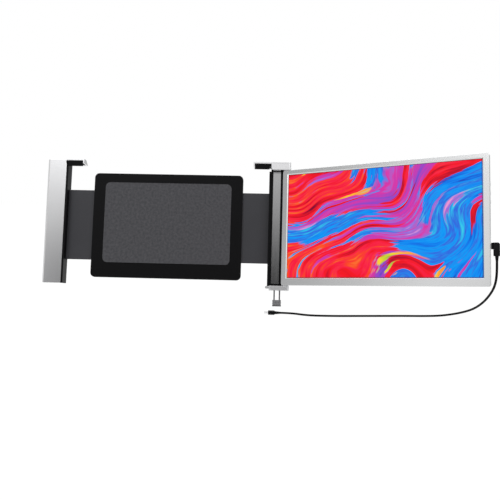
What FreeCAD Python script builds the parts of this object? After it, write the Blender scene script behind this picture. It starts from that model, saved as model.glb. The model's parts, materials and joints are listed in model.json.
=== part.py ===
import FreeCAD, Part
import math
import os

# Laptop screen extender: a carrier plate behind a laptop lid, two arms that slide out of it
# and clip over the lid's edges, and one display that swings on the right arm.
# Everything is drawn upright in a local frame and then leaned back with the lid.
# Local frame, millimetres: X to the viewer's right, Y away from the viewer, Z up the lid.
# The origin is the middle of the carrier's face that lies against the lid's back.

Vec = FreeCAD.Vector

# Pose of the object
leanDeg = 9.75
swivelDeg = 25.94
deskZ = -152.45

# The lid that the clips fit
lidWidth = 349.3
lidThick = 6.0
lidTop = 100.7

# Shared fastener sizes
screwShank = 2.4
screwHead = 4.0
screwHeadDeep = 1.2
screwLength = 7.5
screwGap = 0.05
screwTipGap = 0.3
screwShort = 0.4
bossWall = 1.6

# Carrier
carrierWidth = 260.0
carrierBottom = -96.0
carrierTop = 86.0
carrierThick = 11.0
carrierCorner = 8.0
carrierEdgeRound = 1.2
padWidth = 220.0
padHeight = 140.0
padThick = 0.8
frontPlateThick = 1.6
coverWall = 2.0
coverRecessInset = 22.0
coverRecessDeep = 0.5
carrierBossInset = 8.0
carrierBossInner = 44.0

# Slides
slideThick = 2.0
slideBottom = -66.0
slideTop = 56.0
slideInnerEnd = 70.0
slideDeep = 20.0
slideGap = 0.1
slideEdgeGap = 0.25
slideEndGap = 0.3
slideFront = 4.4
travelIn = 25.0
travelOut = 20.0
railBite = 4.0
railBack = 3.5
railInnerEnd = 40.0
stopPinDia = 5.0
stopPinX = 100.0
stopPinZ = -5.0
stopGap = 0.3
leafLength = 30.0
leafWidth = 12.0
leafThick = 0.4
leafEndGap = 3.0
leafZ = (-38.0, 28.0)
leafGap = 0.08

# Arms
armFront = -7.0
armBack = 13.0
lidSideGap = 0.55
leftWide = 32.8
leftBottom = -107.9
leftTop = 107.4
shellWall = 1.8
shellChamfer = 3.2
linerFlange = 3.6
linerPlug = 3.0
linerGap = 0.15
leftScrewIn = 16.0
rightScrewIn = 8.0
armScrewZ = (-52.0, -18.0, 16.0, 46.0)

# Lid clips
clipReach = 27.15
clipBarThick = 3.2
clipBarTop = 108.8
clipBarFront = -9.0
clipBarBack = 14.0
clipBarSlope = 11.0
clipEndWall = 2.3
clipLidGap = 0.2
clipBlockProud = 1.4
clipBlockBack = 8.0
clipLipGap = 0.3
clipLipDrop = 4.7
clipRootLength = 2.5
clipScrewAlong = (0.35, 0.8)
tongueLength = 17.0
tongueFront = -4.0
tongueBack = 6.0
tongueThick = 3.0
tongueGap = 0.1

# Right arm
rightLinerThick = 4.6
spineWide = 19.7
spineFront = -9.0
spineTopGap = 0.7
spineBottomGap = 1.0
insertLeftInset = 2.1
insertRightInset = 4.4
insertTopInset = 0.9
insertBottomInset = 3.8
insertThick = 1.1
insertSunk = 0.4
insertGap = 0.1
bracketPastSpine = 1.3
bracketPastPin = 7.1
bracketLipFront = -23.0
bracketLipThick = 3.0
bracketBlockFront = -9.0
bracketTop = 108.6
bracketCorner = 3.0
bracketRecessDeep = 0.6
bracketRecessLeft = 2.6
bracketRecessRight = 5.1
bracketRecessTop = 1.6
bracketRecessBottom = 2.2
bracketBottom = -111.7
hookReach = 6.7
hookHigh = 4.6
hookThick = 3.2
sideCoverInset = 0.4
sideCoverFront = -2.0
sideCoverWall = 1.8
sideCoverRound = 2.4
flangeWide = 7.5
flangeThick = 2.8
sideScrewInset = 24.0
spineScrewIn = (6.2, 15.2)
spineScrewY = 10.0

# Leg
rodDia = 2.5
rodIn = (8.1, 17.1)
rodY = -2.0
rodGap = 0.05
rodBite = 6.0
guideHigh = 14.4
guideFront = -5.4
guideBack = 2.9
guideSideLeft = 2.8
guideSideRight = 1.8
guideGap = 0.1
bracketRodGap = 0.3
legDown = 14.5
legUp = 14.0
legStopGap = 0.3
yokeHigh = 6.0
yokeDeep = 4.8
yokeSide = 1.6
footSideLeft = 3.1
footSideRight = 2.9
footFront = -7.5
footBack = 3.5
footTop = -127.7
footBottom = -137.2
footRibs = 3
footRibDeep = 0.6
footPadThick = 1.2
footCorner = 1.5

# Display
pivotPastSpine = 5.4
pivotY = -16.8
screenBottom = -103.4
screenThick = 9.0
pivotInset = 5.0
screenCorner = 4.0
screenEdge = 0.6
screenSide = 1.4
bezelWall = 1.5
splitDeep = 3.0
backWall = 1.3
activeWide = 309.4
activeHigh = 174.0
rimLeft = 9.8
rimRight = 10.1
rimBottom = 13.0
rimTop = 8.1
windowSlope = 1.5
panelMargin = 1.0
panelThick = 1.4
backlightThick = 2.8
boardThick = 0.8
boardWide = 32.0
boardBottom = -72.0
boardTop = 60.0
boardEdgeGap = 0.2
screenScrewShank = 1.8
screenScrewHead = 3.4
screenScrewHeadDeep = 0.7
screenScrewLength = 4.8
screenBossDia = 4.8
screenScrewTipGap = 0.3
screenScrewFromLeft = (20.0, 110.0)
screenScrewFromRight = (114.3, 24.3)
screenScrewTopInset = 4.3
screenScrewBottomInset = 6.7

# Hinge
pinDia = 4.0
pinGap = 0.05
pinReach = 16.0
bushWall = 0.6
knuckleWide = 7.0
knuckleDeep = 6.0
knuckleHigh = 14.0
knuckleGap = 0.1
wallHoleGap = 0.4
washerDia = 7.6
washerGap = 0.05

# Ports
portZ = (-44.9, -24.9)
portDeep = 0.8
portHigh = 9.1
portThick = 3.2
portLength = 8.0
portMouth = 0.4
portOpenHigh = 8.5
portOpenThick = 2.7
portOpenLength = 6.7
portRound = 0.8
portOpenRound = 0.7
portHoleGap = 0.15
tongueHigh = 6.6
tongueFlat = 0.7
tongueOut = 4.5
miniPortZ = -4.0
miniPortHigh = 11.0
miniPortOpenHigh = 10.4
miniPortOpenThick = 2.4
miniTongueHigh = 8.0

# Buttons
buttonZ = (20.0, 33.0, 46.0)
buttonNames = ("power_button", "menu_up_button", "menu_down_button")
buttonHigh = 7.0
buttonThick = 2.4
buttonProud = 0.8
buttonGap = 0.15
buttonFlange = 0.3
buttonFlangeEnd = 0.6
buttonFlangeThick = 0.9
buttonFlangeGap = 0.1
buttonTravel = 0.6
switchGap = 0.1
switchDeep = 2.8
switchHigh = 5.0
switchFrontOut = 1.6

# Plugs and cable
plugShellHigh = 8.3
plugShellThick = 2.5
plugShellWall = 0.4
plugShellIn = 6.0
plugSeatGap = 0.7
anglePlugNeck = 3.0
anglePlugNeckHigh = 9.4
anglePlugNeckStep = 0.6
anglePlugNeckRound = 1.6
anglePlugWide = 8.8
anglePlugThick = 6.4
anglePlugTop = 4.8
anglePlugDrop = 14.6
anglePlugRound = 3.0
reliefLength = 6.7
reliefWide = 5.4
reliefTipWall = 0.4
deskPlugTip = 171.6
deskPlugFace = 178.2
deskPlugLength = 11.1
deskPlugWide = 11.0
deskPlugThick = 6.6
deskPlugY = -13.0
deskPlugRound = 2.2
deskReliefLength = 9.4
deskReliefWide = 5.6
cableDia = 3.5
cableRestGap = 0.05
cableLeadIn = 18.06
cableCornerPart = 0.45

# Left flat where an edge is rounded to nearly half its thickness
roundFlat = 0.05

# Sizes that follow from those above
lidHalf = lidWidth / 2
leftInner = lidHalf + lidSideGap + linerFlange
leftOuter = leftInner + leftWide
spineLeft = lidHalf + lidSideGap + rightLinerThick
spineRight = spineLeft + spineWide
insertLeft = spineLeft + insertLeftInset
insertRight = spineRight - insertRightInset
bracketLeft = spineLeft - bracketPastSpine
pivotX = spineRight + pivotPastSpine
bracketRight = pivotX + bracketPastPin
sideCoverRight = bracketRight - sideCoverInset
hookTip = bracketLeft - hookReach
spineScrewX = [spineLeft + across for across in spineScrewIn]
rodX = [spineLeft + across for across in rodIn]
guideLeft = rodX[0] - guideSideLeft
guideRight = rodX[1] + guideSideRight
footLeft = rodX[0] - footSideLeft
footRight = rodX[1] + footSideRight
lean = math.radians(leanDeg)
swivel = math.radians(swivelDeg)
frontPlateBack = padThick + frontPlateThick
cavityBack = carrierThick - coverWall
slideBack = slideFront + slideThick
shankHole = screwShank + 2 * screwGap
bossDia = shankHole + 2 * bossWall
screenWide = rimLeft + activeWide + rimRight
screenLeft = -pivotInset
screenRight = screenLeft + screenWide
screenTop = screenBottom + rimBottom + activeHigh + rimTop
screenFront = -screenThick / 2
screenBack = screenThick / 2
splitY = screenFront + splitDeep
coverInner = screenBack - backWall
windowLeft = screenLeft + rimLeft
windowRight = windowLeft + activeWide
windowBottom = screenBottom + rimBottom
windowTop = windowBottom + activeHigh
panelFront = screenFront + bezelWall
panelBack = panelFront + panelThick
backlightBack = panelBack + backlightThick
boardBack = coverInner
boardFront = boardBack - boardThick
screenScrewX = [screenLeft + across for across in screenScrewFromLeft]
screenScrewX += [screenRight - across for across in screenScrewFromRight]
spineBottom = screenBottom - spineBottomGap
spineTop = screenTop + spineTopGap
yokeBottom = spineBottom + guideHigh + legDown + legStopGap
yokeTop = yokeBottom + yokeHigh
leftScrewX = leftInner + leftScrewIn
rightScrewX = spineLeft + rightScrewIn
sideScrewX = spineRight + flangeWide / 2
sideScrewZ = (spineBottom + sideScrewInset, (spineBottom + spineTop) / 2, spineTop - sideScrewInset)
sideScrewLength = flangeThick - screwShort
clipUnder = clipBarTop - clipBarThick
clipScrewLength = bracketTop - clipUnder + tongueThick - screwHeadDeep - screwShort
leftClipScrewLength = leftTop - clipUnder + tongueThick - screwHeadDeep - screwShort
topScrewLength = bracketTop - spineTop + screwLength - screwHeadDeep - screwShort
bottomScrewLength = spineBottom - bracketBottom + screwLength - screwHeadDeep - screwShort
reliefX = screenRight + plugSeatGap + anglePlugNeck + anglePlugWide / 2
reliefTop = portZ[0] - anglePlugDrop
deskReliefEnd = deskPlugFace + deskPlugLength + deskReliefLength
cableRestZ = deskZ + cableDia / 2 + cableRestGap
deskPlugZ = deskZ + deskPlugThick / 2 + cableRestGap
carrierHalf = carrierWidth / 2
leafX = carrierHalf - coverWall - leafEndGap - leafLength / 2
carrierScrewSpots = []
for sideways in (-1, 1):
    for across in (carrierHalf - carrierBossInset, carrierBossInner):
        for height in (carrierBottom + carrierBossInset, carrierTop - carrierBossInset):
            carrierScrewSpots.append((sideways * across, height))


def box(x0, x1, y0, y1, z0, z1):
    return Part.makeBox(x1 - x0, y1 - y0, z1 - z0, Vec(x0, y0, z0))


def rod(dia, start, axis, length):
    return Part.makeCylinder(dia / 2, length, start, axis)


def parallel(shape, axis):
    """The straight edges of a shape that run along an axis."""
    found = []
    for edge in shape.Edges:
        if edge.Curve.TypeId == "Part::GeomLine":
            way = edge.tangentAt(edge.FirstParameter)
            if abs(way.dot(axis)) > 0.999:
                found.append(edge)
    return found


def edgesAtX(shape, axis, x):
    """The straight edges along an axis that lie at one x."""
    found = []
    for edge in parallel(shape, axis):
        if abs(edge.BoundBox.XMin - x) < 0.01 and abs(edge.BoundBox.XMax - x) < 0.01:
            found.append(edge)
    return found


def edgesAtY(shape, y):
    """The edges, straight or round, that lie in a face across Y."""
    found = []
    for edge in shape.Edges:
        if abs(edge.BoundBox.YMin - y) < 0.01 and abs(edge.BoundBox.YMax - y) < 0.01:
            found.append(edge)
    return found


def rounded(shape, axis, radius):
    return shape.makeFillet(radius, parallel(shape, axis))


def joined(shapes):
    whole = shapes[0]
    if len(shapes) > 1:
        whole = whole.multiFuse(shapes[1:])
    return whole.removeSplitter()


def group(shapes):
    return Part.makeCompound(shapes)


def prismX(points, x0, x1):
    """A solid whose section, a list of (y, z) points, is carried from x0 to x1."""
    corners = [Vec(x0, y, z) for y, z in points]
    face = Part.Face(Part.makePolygon(corners + corners[:1]))
    return face.extrude(Vec(x1 - x0, 0, 0))


def mirrored(shape):
    return shape.mirror(Vec(0, 0, 0), Vec(1, 0, 0))


def leaned(shape):
    turned = shape.copy()
    turned.rotate(Vec(0, 0, 0), Vec(1, 0, 0), -leanDeg)
    return turned


def onScreen(shape):
    """Carries a shape from the display's own frame, whose Z axis is the pivot, to the arm."""
    placed = shape.copy()
    placed.rotate(Vec(0, 0, 0), Vec(0, 0, 1), -swivelDeg)
    placed.translate(Vec(pivotX, pivotY, 0))
    return placed


def write(node, shape):
    leaned(shape).exportStep("parts/" + node + ".step")


def writeFlat(node, shape):
    """Writes a shape that lies on the desk and so isn't leaned."""
    shape.exportStep("parts/" + node + ".step")


def screwFromBack(x, yFace, z, length=screwLength):
    head = rod(screwHead, Vec(x, yFace, z), Vec(0, -1, 0), screwHeadDeep)
    shank = rod(screwShank, Vec(x, yFace - screwHeadDeep, z), Vec(0, -1, 0), length)
    return head.fuse(shank)


def screwHoleFromBack(x, yFace, z, length=screwLength):
    head = rod(screwHead + 2 * screwGap, Vec(x, yFace, z), Vec(0, -1, 0), screwHeadDeep)
    shank = rod(shankHole, Vec(x, yFace - screwHeadDeep, z), Vec(0, -1, 0), length + screwTipGap)
    return head.fuse(shank)


def screwDown(x, y, zFace, length, up):
    """A screw whose head is sunk in a face across Z; up is 1 where the face looks up."""
    way = Vec(0, 0, -up)
    head = rod(screwHead, Vec(x, y, zFace), way, screwHeadDeep)
    shank = rod(screwShank, Vec(x, y, zFace - up * screwHeadDeep), way, length)
    return head.fuse(shank)


def screwHoleDown(x, y, zFace, length, up):
    way = Vec(0, 0, -up)
    head = rod(screwHead + 2 * screwGap, Vec(x, y, zFace), way, screwHeadDeep)
    shank = rod(shankHole, Vec(x, y, zFace - up * screwHeadDeep), way, length + screwTipGap)
    return head.fuse(shank)


def makeLidPad():
    pad = box(-padWidth / 2, padWidth / 2, 0, padThick, -padHeight / 2, padHeight / 2)
    return rounded(pad, Vec(0, 1, 0), carrierCorner)


def makeFrontPlate():
    plate = box(-carrierHalf, carrierHalf, padThick, frontPlateBack, carrierBottom, carrierTop)
    plate = rounded(plate, Vec(0, 1, 0), carrierCorner)
    bosses = []
    holes = []
    for x, z in carrierScrewSpots:
        bosses.append(rod(bossDia, Vec(x, frontPlateBack, z), Vec(0, 1, 0), cavityBack - frontPlateBack))
        holes.append(screwHoleFromBack(x, carrierThick, z))
    return joined([plate] + bosses).cut(group(holes))


def makeRearCover():
    cover = box(-carrierHalf, carrierHalf, frontPlateBack, carrierThick, carrierBottom, carrierTop)
    cover = rounded(cover, Vec(0, 1, 0), carrierCorner)
    cover = cover.makeFillet(carrierEdgeRound, edgesAtY(cover, carrierThick))
    hollow = box(
        -carrierHalf + coverWall, carrierHalf - coverWall, frontPlateBack, cavityBack,
        carrierBottom + coverWall, carrierTop - coverWall,
    )
    hollow = rounded(hollow, Vec(0, 1, 0), carrierCorner - coverWall)
    recess = box(
        -carrierHalf + coverRecessInset, carrierHalf - coverRecessInset,
        carrierThick - coverRecessDeep, carrierThick,
        carrierBottom + coverRecessInset, carrierTop - coverRecessInset,
    )
    recess = rounded(recess, Vec(0, 1, 0), carrierCorner)
    mouth = box(
        -carrierHalf, carrierHalf, slideFront - slideEdgeGap, slideBack + slideEdgeGap,
        slideBottom - slideEdgeGap, slideTop + slideEdgeGap,
    )
    cuts = [recess, mouth]
    for x, z in carrierScrewSpots:
        cuts.append(screwHoleFromBack(x, carrierThick, z))
    return cover.cut(group(cuts)).cut(hollow)


def makeRail(high):
    """One grooved rail of the right side; high is 1 above the slide and -1 below it."""
    edge = slideTop if high > 0 else slideBottom
    near = edge - high * railBite
    far = edge + high * railBack
    bar = box(
        railInnerEnd, carrierHalf - coverWall, frontPlateBack, cavityBack, min(near, far), max(near, far)
    )
    bottom = edge + high * slideEdgeGap
    groove = box(
        railInnerEnd, carrierHalf, slideFront - slideGap, slideBack + slideGap,
        min(near, bottom), max(near, bottom),
    )
    return bar.cut(groove)


def makeLeaf(z):
    """A bowed leaf: its ends bear on the rear cover and its middle on the slide."""
    bow = cavityBack - slideBack - leafGap
    half = leafLength / 2
    outer = [
        Vec(leafX - half, cavityBack, 0),
        Vec(leafX, cavityBack - bow + leafThick, 0),
        Vec(leafX + half, cavityBack, 0),
    ]
    inner = [
        Vec(leafX + half, cavityBack - leafThick, 0),
        Vec(leafX, cavityBack - bow, 0),
        Vec(leafX - half, cavityBack - leafThick, 0),
    ]
    edges = [
        Part.Arc(*outer).toShape(),
        Part.LineSegment(outer[2], inner[0]).toShape(),
        Part.Arc(*inner).toShape(),
        Part.LineSegment(inner[2], outer[0]).toShape(),
    ]
    leaf = Part.Face(Part.Wire(edges)).extrude(Vec(0, 0, leafWidth))
    leaf.translate(Vec(0, 0, z - leafWidth / 2))
    return leaf


def makeStopPin(side):
    start = Vec(side * stopPinX, frontPlateBack, stopPinZ)
    return rod(stopPinDia, start, Vec(0, 1, 0), cavityBack - frontPlateBack)


def makeSlide(outerEnd, screwX):
    """The right side's slide plate; the left one is its mirror image with its own outer end."""
    plate = box(slideInnerEnd, outerEnd, slideFront, slideBack, slideBottom, slideTop)
    half = stopPinDia / 2 + stopGap
    slot = box(
        stopPinX - travelOut, stopPinX + travelIn, slideFront, slideBack, stopPinZ - half, stopPinZ + half
    )
    ends = []
    for x in (stopPinX - travelOut, stopPinX + travelIn):
        ends.append(rod(2 * half, Vec(x, slideFront, stopPinZ), Vec(0, 1, 0), slideThick))
    holes = []
    for z in armScrewZ:
        holes.append(rod(shankHole, Vec(screwX, slideFront, z), Vec(0, 1, 0), slideThick))
    return plate.cut(group([slot] + ends)).cut(group(holes))


def makeClipBar(rootX, screwTop, length):
    """The bar of the right side's clip; the left one is its mirror image."""
    endX = lidHalf - clipReach
    seat = lidTop + clipLidGap
    section = [
        (clipBarFront, seat),
        (clipBarBack, seat),
        (clipBarBack - clipBarSlope, clipBarTop),
        (clipBarFront, clipBarTop),
    ]
    bar = prismX(section, endX, rootX)
    under = box(endX + clipEndWall, rootX, clipBarFront, clipBlockBack, seat, clipUnder)
    tongue = box(
        rootX - clipRootLength, rootX + tongueLength, tongueFront, tongueBack,
        clipUnder - tongueThick, clipUnder,
    )
    holes = []
    for x, y in clipScrewSpots(rootX):
        holes.append(screwHoleDown(x, y, screwTop, length, 1))
    return joined([bar.cut(under), tongue]).cut(group(holes))


def clipScrewSpots(rootX):
    middle = (tongueFront + tongueBack) / 2
    return [(rootX + tongueLength * part, middle) for part in clipScrewAlong]


def makeClipBlock(rootX):
    """The soft block under the bar, with the lip that holds the lid's front edge."""
    left = lidHalf - clipReach + clipEndWall
    seat = lidTop + clipLidGap
    front = clipBarFront - clipBlockProud
    lipBack = -lidThick - clipLipGap
    section = [
        (front, lidTop - clipLipDrop),
        (lipBack, lidTop - clipLipDrop),
        (lipBack, seat),
        (clipBlockBack, seat),
        (clipBlockBack, clipUnder),
        (clipBarFront, clipUnder),
        (front, clipUnder - clipBlockProud),
    ]
    block = prismX(section, left, rootX)
    rootCut = box(
        rootX - clipRootLength - tongueGap, rootX, tongueFront - tongueGap, tongueBack + tongueGap,
        clipUnder - tongueThick - tongueGap, clipUnder,
    )
    lipCut = box(
        leftInner - linerFlange - linerGap, rootX, front, clipBlockBack, lidTop - clipLipDrop, seat
    )
    return block.cut(rootCut).cut(lipCut)


def makeLeftShell():
    shell = box(leftInner, leftOuter, armFront, armBack, leftBottom, leftTop)
    shell = shell.makeChamfer(shellChamfer, edgesAtX(shell, Vec(0, 0, 1), leftOuter))
    hollow = box(
        leftInner, leftOuter - shellWall, armFront + shellWall, armBack - shellWall,
        leftBottom + shellWall, leftTop - shellWall,
    )
    hollow = hollow.makeChamfer(shellChamfer, edgesAtX(hollow, Vec(0, 0, 1), leftOuter - shellWall))
    bosses = []
    holes = []
    for z in armScrewZ:
        start = Vec(leftScrewX, slideBack, z)
        bosses.append(rod(bossDia, start, Vec(0, 1, 0), armBack - shellWall - slideBack))
        holes.append(screwHoleFromBack(leftScrewX, armBack, z))
    for x, y in clipScrewSpots(leftInner):
        holes.append(screwHoleDown(x, y, leftTop, leftClipScrewLength, 1))
    return joined([shell.cut(hollow)] + bosses).cut(group(holes))


def makeLeftLiner():
    top = clipUnder - tongueThick - tongueGap
    flange = box(
        leftInner - linerFlange, leftInner, armFront + linerGap, armBack - linerGap,
        leftBottom + linerGap, lidTop + clipLidGap - linerGap,
    )
    plug = box(
        leftInner, leftInner + linerPlug, armFront + shellWall + linerGap, armBack - shellWall - linerGap,
        leftBottom + shellWall + linerGap, top,
    )
    slot = box(
        leftInner - linerFlange, leftInner + linerPlug, slideFront - slideGap, slideBack + slideGap,
        slideBottom - slideEdgeGap, slideTop + slideEdgeGap,
    )
    return joined([flange, plug]).cut(slot)


def makeSpineHousing():
    body = box(spineLeft, spineRight, spineFront, armBack, spineBottom, spineTop)
    flange = box(
        spineRight, spineRight + flangeWide, armBack - sideCoverWall - flangeThick, armBack - sideCoverWall,
        spineBottom + sideCoverWall + linerGap, spineTop - sideCoverWall - linerGap,
    )
    pocket = box(
        insertLeft, insertRight, spineFront, spineFront + insertSunk + insertThick,
        spineBottom + insertBottomInset, spineTop - insertTopInset,
    )
    well = box(
        guideLeft - guideGap, guideRight + guideGap, guideFront - guideGap, guideBack + guideGap,
        spineBottom, yokeTop + legUp + legStopGap,
    )
    slot = box(
        spineLeft, spineRight - sideCoverWall, slideFront - slideGap, slideBack + slideGap,
        slideBottom - slideEdgeGap, slideTop + slideEdgeGap,
    )
    cuts = [pocket, well, slot]
    for z in armScrewZ:
        cuts.append(screwHoleFromBack(rightScrewX, armBack, z))
    for x in spineScrewX:
        cuts.append(rod(shankHole, Vec(x, spineScrewY, spineTop), Vec(0, 0, -1), screwLength))
        cuts.append(rod(shankHole, Vec(x, spineScrewY, spineBottom), Vec(0, 0, 1), screwLength))
    for z in sideScrewZ:
        cuts.append(screwHoleFromBack(sideScrewX, armBack, z, sideScrewLength))
    return joined([body, flange]).cut(group(cuts))


def makeSpineInsert():
    back = spineFront + insertSunk + insertThick
    return box(
        insertLeft + insertGap, insertRight - insertGap, back - insertThick, back,
        spineBottom + insertBottomInset + insertGap, spineTop - insertTopInset - insertGap,
    )


def makeRightLiner():
    liner = box(
        leftInner - linerFlange, spineLeft, armFront + linerGap, armBack - linerGap, spineBottom, spineTop
    )
    slot = box(
        leftInner - linerFlange, spineLeft, slideFront - slideGap, slideBack + slideGap,
        slideBottom - slideEdgeGap, slideTop + slideEdgeGap,
    )
    return liner.cut(slot)


def makeSideCover():
    cover = box(spineRight, sideCoverRight, sideCoverFront, armBack, spineBottom, spineTop)
    cover = cover.makeFillet(sideCoverRound, edgesAtX(cover, Vec(0, 0, 1), sideCoverRight))
    hollow = box(
        spineRight, sideCoverRight - sideCoverWall, sideCoverFront + sideCoverWall, armBack - sideCoverWall,
        spineBottom + sideCoverWall, spineTop - sideCoverWall,
    )
    holes = []
    for z in sideScrewZ:
        holes.append(screwHoleFromBack(sideScrewX, armBack, z, sideScrewLength))
    return cover.cut(hollow).cut(group(holes))


def makeTopBracket():
    block = box(
        bracketLeft, bracketRight, bracketBlockFront, armBack, spineTop + bracketLipThick, bracketTop
    )
    block = block.makeFillet(bracketCorner, edgesAtX(block, Vec(0, 0, 1), bracketRight))
    lip = box(bracketLeft, bracketRight, bracketLipFront, armBack, spineTop, spineTop + bracketLipThick)
    lip = rounded(lip, Vec(0, 0, 1), bracketCorner)
    pocket = box(
        bracketLeft, bracketLeft + tongueLength + tongueGap,
        tongueFront - tongueGap, tongueBack + tongueGap,
        clipUnder - tongueThick - tongueGap, clipUnder + tongueGap,
    )
    recess = box(
        bracketLeft + bracketRecessLeft, bracketRight - bracketRecessRight,
        bracketBlockFront, bracketBlockFront + bracketRecessDeep,
        spineTop + bracketLipThick + bracketRecessBottom, bracketTop - bracketRecessTop,
    )
    cuts = [pocket, recess, rod(pinDia, Vec(pivotX, pivotY, spineTop), Vec(0, 0, 1), bracketLipThick)]
    for x, y in clipScrewSpots(bracketLeft):
        cuts.append(screwHoleDown(x, y, bracketTop, clipScrewLength, 1))
    for x in spineScrewX:
        cuts.append(screwHoleDown(x, spineScrewY, bracketTop, topScrewLength, 1))
    return joined([block, lip]).cut(group(cuts))


def makeBottomBracket():
    plate = box(bracketLeft, bracketRight, bracketLipFront, armBack, bracketBottom, spineBottom)
    plate = rounded(plate, Vec(0, 0, 1), bracketCorner)
    hookBack = -lidThick - clipLipGap
    hook = box(
        hookTip, bracketLeft + bracketCorner, hookBack - hookThick, hookBack,
        spineBottom - hookHigh, spineBottom,
    )
    hook = hook.makeFillet(hookHigh / 2 - roundFlat, edgesAtX(hook, Vec(0, 1, 0), hookTip))
    cuts = [rod(pinDia, Vec(pivotX, pivotY, bracketBottom), Vec(0, 0, 1), spineBottom - bracketBottom)]
    for x in rodX:
        hole = rodDia + 2 * bracketRodGap
        cuts.append(rod(hole, Vec(x, rodY, bracketBottom), Vec(0, 0, 1), spineBottom - bracketBottom))
    for x in spineScrewX:
        cuts.append(screwHoleDown(x, spineScrewY, bracketBottom, bottomScrewLength, -1))
    return joined([plate, hook]).cut(group(cuts))


def makePins():
    start = Vec(pivotX, pivotY, spineTop + bracketLipThick)
    top = rod(pinDia, start, Vec(0, 0, -1), bracketLipThick + pinReach)
    length = spineBottom - bracketBottom + pinReach
    low = rod(pinDia, Vec(pivotX, pivotY, bracketBottom), Vec(0, 0, 1), length)
    return group([top, low])


def makeLegGuide():
    guide = box(guideLeft, guideRight, guideFront, guideBack, spineBottom, spineBottom + guideHigh)
    bores = []
    for x in rodX:
        bores.append(rod(rodDia + 2 * rodGap, Vec(x, rodY, spineBottom), Vec(0, 0, 1), guideHigh))
    return guide.cut(group(bores))


def makeRods():
    rods = []
    low = footTop - rodBite
    for x in rodX:
        rods.append(rod(rodDia, Vec(x, rodY, low), Vec(0, 0, 1), yokeTop - low))
    return group(rods)


def makeYoke():
    left = rodX[0] - rodDia / 2 - yokeSide
    right = rodX[1] + rodDia / 2 + yokeSide
    yoke = box(
        max(left, guideLeft + guideGap), min(right, guideRight - guideGap),
        rodY - yokeDeep / 2, rodY + yokeDeep / 2, yokeBottom, yokeTop,
    )
    holes = []
    for x in rodX:
        holes.append(rod(rodDia, Vec(x, rodY, yokeBottom), Vec(0, 0, 1), yokeHigh))
    return yoke.cut(group(holes))


def makeFoot():
    foot = box(footLeft, footRight, footFront, footBack, footBottom, footTop)
    foot = rounded(foot, Vec(0, 0, 1), footCorner)
    pitch = (footTop - footBottom) / (2 * footRibs + 1)
    cuts = []
    for step in range(footRibs):
        low = footBottom + pitch * (2 * step + 1)
        ring = box(footLeft - 1, footRight + 1, footFront - 1, footBack + 1, low, low + pitch)
        core = box(
            footLeft + footRibDeep, footRight - footRibDeep,
            footFront + footRibDeep, footBack - footRibDeep, low, low + pitch,
        )
        cuts.append(ring.cut(rounded(core, Vec(0, 0, 1), footCorner - footRibDeep / 2)))
    for x in rodX:
        cuts.append(rod(rodDia, Vec(x, rodY, footTop - rodBite), Vec(0, 0, 1), rodBite))
    return foot.cut(group(cuts))


def makeFootPad():
    pad = box(footLeft, footRight, footFront, footBack, footBottom - footPadThick, footBottom)
    return rounded(pad, Vec(0, 0, 1), footCorner)


def screenSlab(y0, y1, inset):
    slab = box(
        screenLeft + inset, screenRight - inset, y0, y1, screenBottom + inset, screenTop - inset
    )
    return rounded(slab, Vec(0, 1, 0), screenCorner - inset)


def screenScrewSpots():
    spots = []
    for x in screenScrewX:
        spots.append((x, screenTop - screenScrewTopInset))
        spots.append((x, screenBottom + screenScrewBottomInset))
    return spots


def screenScrew(x, z, gap=0.0, tipGap=0.0):
    """A screw of the display's back, or its hole where gaps are given."""
    head = rod(screenScrewHead + 2 * gap, Vec(x, screenBack, z), Vec(0, -1, 0), screenScrewHeadDeep)
    start = Vec(x, screenBack - screenScrewHeadDeep, z)
    shank = rod(screenScrewShank + 2 * gap, start, Vec(0, -1, 0), screenScrewLength + tipGap)
    return head.fuse(shank)


def pinHoles():
    dia = pinDia + 2 * wallHoleGap
    top = rod(dia, Vec(0, 0, screenTop - screenCorner), Vec(0, 0, 1), screenCorner)
    low = rod(dia, Vec(0, 0, screenBottom), Vec(0, 0, 1), screenCorner)
    return [top, low]


def makeBezel():
    slab = screenSlab(screenFront, splitY, 0)
    slab = slab.makeFillet(screenEdge, edgesAtY(slab, screenFront))
    hollow = screenSlab(panelFront, splitY, screenSide)
    slope = windowSlope
    wires = []
    for y, grow in ((screenFront, slope), (panelFront, 0)):
        corners = [
            Vec(windowLeft - grow, y, windowBottom - grow),
            Vec(windowRight + grow, y, windowBottom - grow),
            Vec(windowRight + grow, y, windowTop + grow),
            Vec(windowLeft - grow, y, windowTop + grow),
        ]
        wires.append(Part.makePolygon(corners + corners[:1]))
    window = Part.makeLoft(wires, True, True)
    bosses = []
    for x, z in screenScrewSpots():
        bosses.append(rod(screenBossDia, Vec(x, panelFront, z), Vec(0, 1, 0), coverInner - panelFront))
    holes = pinHoles()
    for x, z in screenScrewSpots():
        holes.append(screenScrew(x, z, screwGap, screenScrewTipGap))
    return joined([slab.cut(hollow).cut(window)] + bosses).cut(group(holes))


def sideOpening(z, high, thick, gap):
    half = high / 2 + gap
    deep = thick / 2 + gap
    return box(screenRight - screenSide, screenRight, portDeep - deep, portDeep + deep, z - half, z + half)


def makeBackCover():
    slab = screenSlab(splitY, screenBack, 0)
    slab = slab.makeFillet(screenEdge, edgesAtY(slab, screenBack))
    hollow = screenSlab(splitY, coverInner, screenSide)
    cuts = pinHoles()
    for z in portZ:
        cuts.append(sideOpening(z, portHigh, portThick, portHoleGap))
    cuts.append(sideOpening(miniPortZ, miniPortHigh, portThick, portHoleGap))
    for z in buttonZ:
        cuts.append(sideOpening(z, buttonHigh, buttonThick, buttonGap))
    for x, z in screenScrewSpots():
        cuts.append(screenScrew(x, z, screwGap, screenScrewTipGap))
    return slab.cut(hollow).cut(group(cuts))


def makePanel(y0, y1):
    return box(
        windowLeft - panelMargin, windowRight + panelMargin, y0, y1,
        windowBottom - panelMargin, windowTop + panelMargin,
    )


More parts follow.
